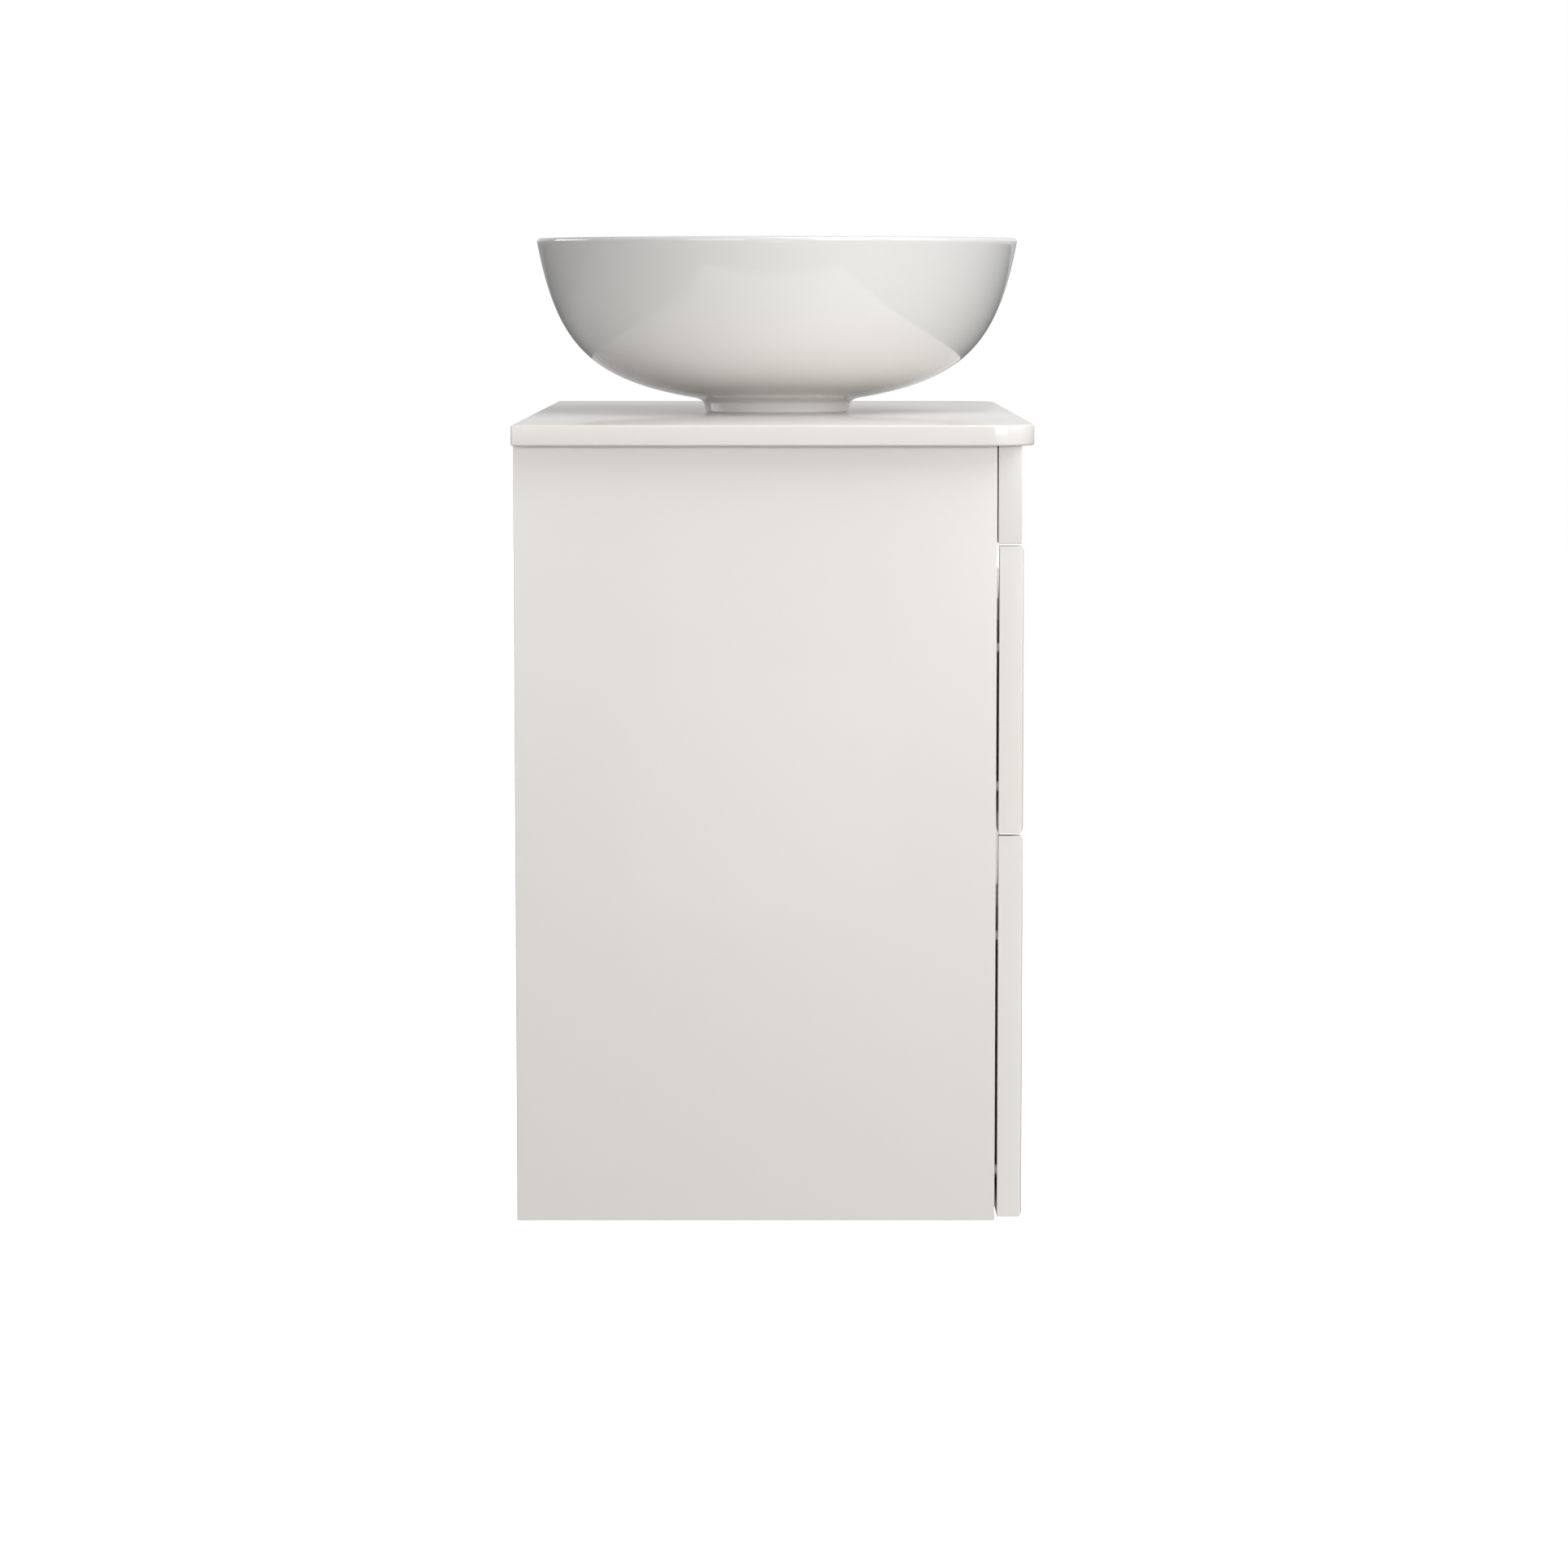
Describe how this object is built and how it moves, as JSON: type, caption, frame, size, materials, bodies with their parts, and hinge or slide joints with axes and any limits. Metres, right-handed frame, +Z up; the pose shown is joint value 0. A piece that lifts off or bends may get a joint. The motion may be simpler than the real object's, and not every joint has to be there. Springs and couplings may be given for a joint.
{
  "type": "vessel sink on vanity",
  "caption": "Wall-hung vanity: thin top with rounded front corners, round vessel basin, fixed fascia and two handleless drawers with grip notches.",
  "frame": {"origin": "middle of the width and of the whole depth, with the basin's front overhang, at the lower end of the side panels", "axes": "+X to the right seen from the front, -Y towards the user, +Y towards the wall, +Z up"},
  "size_m": [0.8, 0.403, 0.761],
  "materials": {
    "white_lacquer": "white high-gloss lacquer on board",
    "white_board": "white satin laminate on board",
    "glazed_ceramic": "white gloss glaze",
    "black_rubber": "matt",
    "polished_chrome": "polished",
    "white_plastic": "moulded, fine satin",
    "zinc_steel": "bright zinc plated",
    "runner_steel": "rolled, zinc plated",
    "beech": "raw beech, fluted",
    "clear_bumper": "soft, translucent"
  },
  "bodies": {
    "cabinet": {"countertop": "white_lacquer", "basin": "glazed_ceramic", "basin_seal": "black_rubber", "waste_flange": "polished_chrome", "waste_washer": "black_rubber", "waste_nut": "polished_chrome", "trap_inlet_nut": "white_plastic", "trap_tailpiece": "polished_chrome", "trap_top_nut": "white_plastic", "trap_body": "white_plastic", "trap_cup": "white_plastic", "trap_outlet_nut": "white_plastic", "trap_outlet_pipe": "polished_chrome", "side_panel_left": "white_lacquer", "side_panel_right": "white_lacquer", "bottom_panel": "white_board", "front_rail": "white_board", "back_rail_upper": "white_board", "back_rail_lower": "white_board", "fascia": "white_lacquer", "fascia_brackets": "zinc_steel", "top_brackets": "zinc_steel", "carcass_screws": "zinc_steel", "cam_locks": "zinc_steel", "panel_dowels": "beech", "hanger_left": "white_plastic", "hanger_right": "white_plastic", "hanger_hooks": "zinc_steel", "hanger_screws": "zinc_steel", "wall_plates": "zinc_steel", "grip_boards": "white_board", "front_bumpers": "clear_bumper", "rail_screws": "zinc_steel", "upper_rail_left": "runner_steel", "upper_rail_right": "runner_steel", "lower_rail_left": "runner_steel", "lower_rail_right": "runner_steel"},
    "drain_plug": {"waste_plug": "polished_chrome", "plug_seal": "black_rubber"},
    "upper_runner_middles": {"upper_middle_left": "runner_steel", "upper_middle_right": "runner_steel"},
    "lower_runner_middles": {"lower_middle_left": "runner_steel", "lower_middle_right": "runner_steel"},
    "upper_drawer": {"upper_front": "white_lacquer", "upper_inner_front": "white_board", "upper_side_left": "white_board", "upper_side_right": "white_board", "upper_backs": "white_board", "upper_base": "white_board", "trap_liner": "white_board", "upper_slides": "runner_steel", "upper_screws": "zinc_steel"},
    "lower_drawer": {"lower_front": "white_lacquer", "lower_inner_front": "white_board", "lower_side_left": "white_board", "lower_side_right": "white_board", "lower_back": "white_board", "lower_base": "white_board", "lower_slides": "runner_steel", "lower_screws": "zinc_steel"}
  },
  "joints": [
    {"name": "upper_drawer_slide", "type": "slide", "parent": "cabinet", "child": "upper_drawer", "axis": [0, -1, 0], "range_m": [0, 0.3]},
    {"name": "lower_drawer_slide", "type": "slide", "parent": "cabinet", "child": "lower_drawer", "axis": [0, -1, 0], "range_m": [0, 0.3]},
    {"name": "upper_middles_slide", "type": "slide", "parent": "cabinet", "child": "upper_runner_middles", "axis": [0, -1, 0], "range_m": [0, 0.15]},
    {"name": "lower_middles_slide", "type": "slide", "parent": "cabinet", "child": "lower_runner_middles", "axis": [0, -1, 0], "range_m": [0, 0.15]},
    {"name": "plug_slide", "type": "slide", "parent": "cabinet", "child": "drain_plug", "axis": [0, 0, 1], "range_m": [-0.008, 0]}
  ],
  "couplings": [
    {"joint": "upper_middles_slide", "follows": "upper_drawer_slide", "ratio": 0.5},
    {"joint": "lower_middles_slide", "follows": "lower_drawer_slide", "ratio": 0.5}
  ]
}
